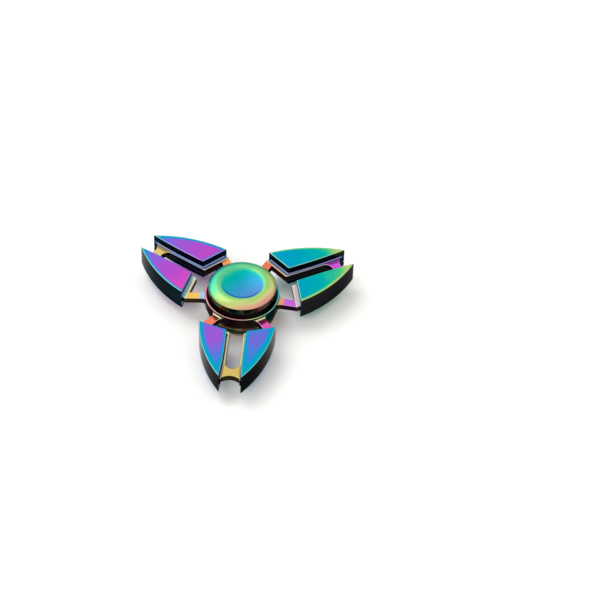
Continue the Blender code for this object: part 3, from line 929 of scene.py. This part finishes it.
def hub_material():
    """Plating on the hub ring: pink on the left, teal on the right, and painted shade inside its outer rim,
    under the cap.
    """
    graph = Graph("plating_hub")
    x, y = graph.split(graph.mapped())[:2]
    film = graph.span(x, HUB_FILM_FROM, HUB_RADIUS, *HUB_FILMS)
    shade = graph.span(graph.from_axis(x, y), *HUB_PAINTED_SHADE_ENDS, 1.0, 0.0)
    return finish_plating(graph, film_colour(graph, film), shade)


# The caps' film in the dish, on the crest and at the rim: in the middle, and its change to the lower right.
DISH_FILM = (0.575, -0.18)
CREST_FILM = (0.75, 0.06)
RIM_FILM = (0.77, 0.2)
SHOULDER_BEGINS = (8.6, 11.6)
DISH_ENDS = 8.0
# Where the dish's colour starts to fade, as a radius, at the front and at the back of the cap.
FRONT_TO_BACK = (-5.0, 4.0)
FADE_RADII = (7.15, 6.0)
# A whitish painted sheen over the plating, and a dark blue line of painted shade on the front of the dish's
# lip.
PAINTED_SHEEN_COLOUR = (232, 238, 228)
PAINTED_SHEEN_ZONE = (-0.4, 0.6)
DISH_PAINTED_SHEEN = 0.08
CREST_PAINTED_SHEEN = 0.07
LIP_PAINTED_SHADE = (24, 88, 166)
LIP_BEGINS = (6.55, 7.0)
LIP_ENDS = (7.2, 7.5)
LIP_FRONT = (-6.5, -1.0)
LIP_SHARE = 0.9
# The side wall, where painted glints of the mirrored room show: noise in the film under the wall's painted
# shade.
SIDE_WALL = (CAP_RADIUS - 0.05, CAP_RADIUS - 0.01)
GLINT_STRETCH = (0.16, 0.16, 0.5)
GLINT_DRIFT = 0.35
CAP_WALL_TINT = 0.12


def cap_material():
    """Plating on the finger caps: one colour in the dish, another on the crest, a third at the rim."""
    graph = Graph("plating_cap")
    x, y = graph.split(graph.mapped())[:2]
    radius = graph.from_axis(x, y)
    down_right = graph.times(graph.less(x, y), math.sqrt(0.5) / CAP_RADIUS)
    dish, crest, rim = (
        graph.add(middle, graph.times(down_right, drift))
        for middle, drift in (DISH_FILM, CREST_FILM, RIM_FILM)
    )
    shoulder = graph.mix(graph.span(radius, *SHOULDER_BEGINS), crest, rim)
    past_dish = graph.span(radius, graph.span(y, *FRONT_TO_BACK, *FADE_RADII), DISH_ENDS)
    film = graph.mix(past_dish, dish, shoulder)
    # Painted glints on the side wall: the film drifts with stretched noise.
    glints = graph.times(graph.noise(graph.mapped(stretch=GLINT_STRETCH), 1.0), GLINT_DRIFT)
    film = graph.add(film, graph.times(graph.span(radius, *SIDE_WALL), glints))
    # A whitish painted sheen stands in for the bright room mirrored in the gloss: rising to the lower right
    # in the dish, even on the crest.
    painted_sheen = graph.mix(past_dish, graph.span(down_right, *PAINTED_SHEEN_ZONE, 0.0, DISH_PAINTED_SHEEN), CREST_PAINTED_SHEEN)
    colour = graph.mix_colour(painted_sheen, film_colour(graph, film), linear(PAINTED_SHEEN_COLOUR))
    # A dark blue line of painted shade along the front of the dish's lip.
    lip_shade = graph.times(graph.span(radius, *LIP_BEGINS), graph.span(radius, *LIP_ENDS, LIP_SHARE, 0.0))
    lip_shade = graph.times(lip_shade, graph.span(y, *LIP_FRONT, 1.0, 0.0))
    colour = graph.mix_colour(lip_shade, colour, linear(LIP_PAINTED_SHADE))
    return finish_plating(graph, colour, wall_tint=CAP_WALL_TINT, edge_highlight_share=0.0)


# The bearing's steels: scales of the clouds and the turning marks, and how far they move colour and gloss.
STEEL_CLOUD_SCALE = 0.5
MARK_SCALE = 14.0
DARKER_STEEL = 0.86
STEEL_GLOSS_DRIFT = 0.05


def steel(name, tint, rough, turned_marks):
    """Bright steel with faint clouding, and with fine marks round the axis where it has turned_marks."""
    graph = Graph(name)
    where = graph.mapped()
    cloud = graph.noise(where, STEEL_CLOUD_SCALE)
    marks = cloud
    if turned_marks:
        x, y, z = graph.split(where)
        ring = graph.nodes.new("ShaderNodeCombineXYZ")
        graph.feed(ring.inputs[0], graph.times(graph.from_axis(x, y), MARK_SCALE))
        graph.feed(ring.inputs[2], graph.times(z, MARK_SCALE))
        marks = graph.noise(ring.outputs[0], 1.0)
    shade = graph.span(graph.add(cloud, marks), -2.0, 2.0)
    darker = tuple(DARKER_STEEL * value for value in tint)
    colour = graph.mix_colour(shade, linear(darker), linear(tint))
    graph.feed(graph.shader.inputs["Base Color"], colour)
    gloss = graph.add(rough, graph.times(marks, STEEL_GLOSS_DRIFT))
    graph.feed(graph.shader.inputs["Roughness"], gloss)
    graph.bump(marks, strength=0.2, depth=0.006)
    return graph.material


FLOOR_REACH = 2500.0
FLOOR_HALF_HEIGHT = 1.0
FLOOR_COLOURS = ((240, 239, 237), (245, 244, 242))
FLOOR_CLOUD_SCALE = 0.01
PAPER_GRAIN_SCALE = 1.2
PAPER_ROUGHNESS = 0.7


def make_floor():
    """A plain pale sweep, level with the crest of the lower cap that the spinner lies on."""
    graph = Graph("floor_paper", metallic=0.0)
    where = graph.mapped()
    shade = graph.span(graph.noise(where, FLOOR_CLOUD_SCALE), -1.0, 1.0)
    darker, lighter = (linear(colour) for colour in FLOOR_COLOURS)
    graph.feed(graph.shader.inputs["Base Color"], graph.mix_colour(shade, darker, lighter))
    graph.shader.inputs["Roughness"].default_value = PAPER_ROUGHNESS
    graph.bump(graph.noise(where, PAPER_GRAIN_SCALE), strength=0.05, depth=0.05)
    corners = [Vector(corner) * FLOOR_REACH for corner in ((-1, -1), (1, -1), (1, 1), (-1, 1))]
    floor = plate("floor", corners, FLOOR_HALF_HEIGHT)
    floor.location.z = (LOWER_CAP_LOW.z - FLOOR_HALF_HEIGHT) * MM
    floor.data.materials.append(graph.material)


# ---------------------------------------------------------------- light and camera

# The room's brightness from below the horizon up, and an extra glow around one direction of it. Each is
# (from, to, brightness at from, brightness at to), from and to as the sine of height or cosine of angle.
ROOM_LIGHT = (-0.05, 0.45, 0.4, 0.92)
GLOW_LIGHT = (0.76, 0.99, 0.0, 0.7)
GLOW_FROM = Vector((-0.62, 0.4, 0.68)).normalized()
ROOM_COLOUR = (1.0, 0.998, 0.992, 1.0)

# Soft lights: name, place and size in metres, and power in watts.
SOFTBOXES = (
    ("key", (-0.45, 0.5, 1.2), (0.9, 0.7), 5.0),
    ("fill", (-0.6, -0.7, 0.9), (0.8, 0.8), 3.0),
)


def softbox(name, spot, size, power):
    """A soft light aimed at the spinner. It casts shadows and isn't mirrored in the metal."""
    light = bpy.data.lights.new(name, "AREA")
    light.shape = "RECTANGLE"
    light.size, light.size_y = size
    light.energy = power
    obj = add_object(name, light)
    obj.location = spot
    obj.rotation_euler = (-Vector(spot)).to_track_quat("-Z", "Y").to_euler()
    obj.visible_glossy = False


def make_light():
    """A bright, even studio: a pale room that dims towards the horizon, and two soft lights for shadows."""
    world = bpy.data.worlds.new("studio")
    world.use_nodes = True
    nodes = world.node_tree.nodes
    links = world.node_tree.links
    where = nodes.new("ShaderNodeTexCoord")
    split = nodes.new("ShaderNodeSeparateXYZ")
    facing = nodes.new("ShaderNodeVectorMath")
    facing.operation = "DOT_PRODUCT"
    facing.inputs[1].default_value = GLOW_FROM
    room = nodes.new("ShaderNodeMapRange")
    glow = nodes.new("ShaderNodeMapRange")
    for ramp, limits in ((room, ROOM_LIGHT), (glow, GLOW_LIGHT)):
        ramp.interpolation_type = "SMOOTHSTEP"
        for number, value in enumerate(limits, start=1):
            ramp.inputs[number].default_value = value
    total = nodes.new("ShaderNodeMath")
    background = nodes["Background"]
    background.inputs["Color"].default_value = ROOM_COLOUR
    links.new(where.outputs["Generated"], split.inputs[0])
    links.new(where.outputs["Generated"], facing.inputs[0])
    links.new(split.outputs[2], room.inputs[0])
    links.new(facing.outputs["Value"], glow.inputs[0])
    links.new(room.outputs[0], total.inputs[0])
    links.new(glow.outputs[0], total.inputs[1])
    links.new(total.outputs[0], background.inputs["Strength"])
    bpy.context.scene.world = world
    for box in SOFTBOXES:
        softbox(*box)
    bpy.context.scene.view_settings.view_transform = "Standard"


# The camera looks at the spin axis at the blades' top, moved by AIM_RIGHT and AIM_UP in the view.
LENS = 132.0
SENSOR_WIDTH = 36.0
ELEVATION = math.radians(45.28)
ROLL = math.radians(2.21)
TURN = math.radians(3.23)
DISTANCE = 764.6
AIM_RIGHT = 20.10
AIM_UP = -3.545


def make_camera():
    """The camera of the photograph: from above at the front, with the spinner left of the middle."""
    forward = Vector((0, math.cos(ELEVATION), -math.sin(ELEVATION)))
    level_up = Vector((0, math.sin(ELEVATION), math.cos(ELEVATION)))
    roll = Matrix.Rotation(ROLL, 2)
    sideways, upward = (roll @ Vector(axis) for axis in ((1, 0), (0, 1)))
    right = Vector((1, 0, 0)) * sideways.x + level_up * sideways.y
    up = Vector((1, 0, 0)) * upward.x + level_up * upward.y
    aim = Vector((0, 0, BLADE_HALF_HEIGHT)) + right * AIM_RIGHT + up * AIM_UP
    spot = aim - forward * DISTANCE
    pose = Matrix((right, up, -forward)).transposed().to_4x4()
    pose.translation = spot * MM
    camera = bpy.data.cameras.new("camera")
    camera.lens = LENS
    camera.sensor_width = SENSOR_WIDTH
    camera.clip_start = 0.01
    camera.clip_end = 20.0
    obj = add_object("camera", camera)
    obj.matrix_world = Matrix.Rotation(TURN, 4, "Z") @ pose
    bpy.context.scene.camera = obj


# ---------------------------------------------------------------- assembly

def assign(node, material):
    """Gives a CAD node its material."""
    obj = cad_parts[node]
    obj.data.materials.clear()
    obj.data.materials.append(material)


# The plating of each arm, one dict for each side. root, middle, late and tip are the blade's film along it.
# rim is the film round its edge, margin wide, and slot_rim how much of it shows on the slot side. ledge, leg
# and web are the colours of the thin parts; the ledge's colour by the blade is painted reflection and the
# leg's at the hub end a painted highlight. glow and ledge_glow say how bright two stretches of wall are
# painted, as painted reflection.
BOTTOM_LOOKS = (
    {
        "root": 0.43, "middle": 0.42, "late": 0.5, "tip": 0.6,
        "ledge_glow": 0.0, "glow": 0.0, "rim": 0.60, "slot_rim": 0.8, "margin": 3.2,
        "ledge": ((120, 116, 104), CREAM), "ledge_span": (0.1, 0.5), "web": (216, 190, 96),
        "leg": ((210, 214, 150), (228, 82, 175)), "leg_span": (13.35, 13.6),
    },
    {
        "root": 0.35, "middle": 0.35, "late": 0.47, "tip": 0.59,
        "ledge_glow": 0.0, "glow": 0.0, "rim": 0.59, "slot_rim": 0.8, "margin": 2.6,
        "ledge": ((120, 116, 104), CREAM), "ledge_span": (0.1, 0.5), "web": (216, 190, 96),
        "leg": ((205, 222, 170), (242, 130, 95)), "leg_span": (13.35, 13.6),
    },
)
RIGHT_LOOKS = (
    {
        "root": 0.55, "middle": 0.58, "late": 0.66, "tip": 0.88,
        "ledge_glow": 0.55, "glow": 0.0, "rim": 0.75, "slot_rim": 0.15, "margin": 1.3,
        "ledge": ((62, 104, 184), (200, 194, 164)), "ledge_span": (0.3, 1.2), "web": (212, 80, 216),
        "leg": ((200, 150, 90), (236, 118, 84)), "leg_span": (13.5, 14.4),
    },
    {
        "root": 0.565, "middle": 0.62, "late": 0.69, "tip": 0.87,
        "ledge_glow": 0.0, "glow": 0.85, "rim": 0.78, "slot_rim": 0.15, "margin": 1.3,
        "ledge": ((176, 172, 196), (205, 206, 168)), "ledge_span": (0.5, 1.2), "web": (212, 80, 216),
        "leg": ((242, 160, 92), (196, 90, 212)), "leg_span": (13.8, 15.6),
    },
)
LEFT_LOOKS = (
    {
        "root": 0.225, "middle": 0.275, "late": 0.36, "tip": 0.56,
        "ledge_glow": 0.0, "glow": 0.85, "rim": 0.60, "slot_rim": 0.3, "margin": 1.2,
        "ledge": ((122, 182, 205), (226, 222, 176)), "ledge_span": (0.35, 1.2), "web": (222, 194, 108),
        "leg": ((160, 194, 226), (236, 188, 88)), "leg_span": (14.2, 15.6),
    },
    {
        "root": 0.285, "middle": 0.285, "late": 0.37, "tip": 0.56,
        "ledge_glow": 0.55, "glow": 0.0, "rim": 0.62, "slot_rim": 0.2, "margin": 1.9,
        "ledge": ((70, 126, 200), (158, 184, 212)), "ledge_span": (0.3, 1.2), "web": (222, 194, 108),
        "leg": ((214, 190, 130), (240, 156, 84)), "leg_span": (13.5, 14.0),
    },
)


# The bearing's steels by material slot: tint, roughness, and whether turning marks show.
STEELS = {
    "bearing_steel": ((196, 198, 202), 0.22, True),
    "ball_steel": ((214, 216, 220), 0.08, False),
    "pressed_steel": ((176, 178, 182), 0.34, True),
    "spring_steel": ((140, 143, 150), 0.3, False),
}


def steel_of(name):
    """The material slot of a CAD node of the bearing, or None for any other node."""
    if name.startswith("bearing_ball"):
        return "ball_steel"
    if name.endswith("snap_ring"):
        return "spring_steel"
    if name.startswith("bearing"):
        return "bearing_steel"
    if name.startswith("cage") or name.endswith("shield"):
        return "pressed_steel"
    return None


def main():
    looks = (BOTTOM_LOOKS, RIGHT_LOOKS, LEFT_LOOKS)
    arms = [
        arm_material(f"plating_arm_{number}", angle, look)
        for number, (angle, look) in enumerate(zip(ARM_ANGLES, looks), start=1)
    ]
    make_casting([hub_material()] + arms)
    cap = cap_material()
    make_upper_cap(cap)
    make_lower_cap(cap)
    steels = {name: steel(name, *look) for name, look in STEELS.items()}
    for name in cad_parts:
        if steel_of(name):
            assign(name, steels[steel_of(name)])
    make_floor()
    make_light()
    make_camera()


main()
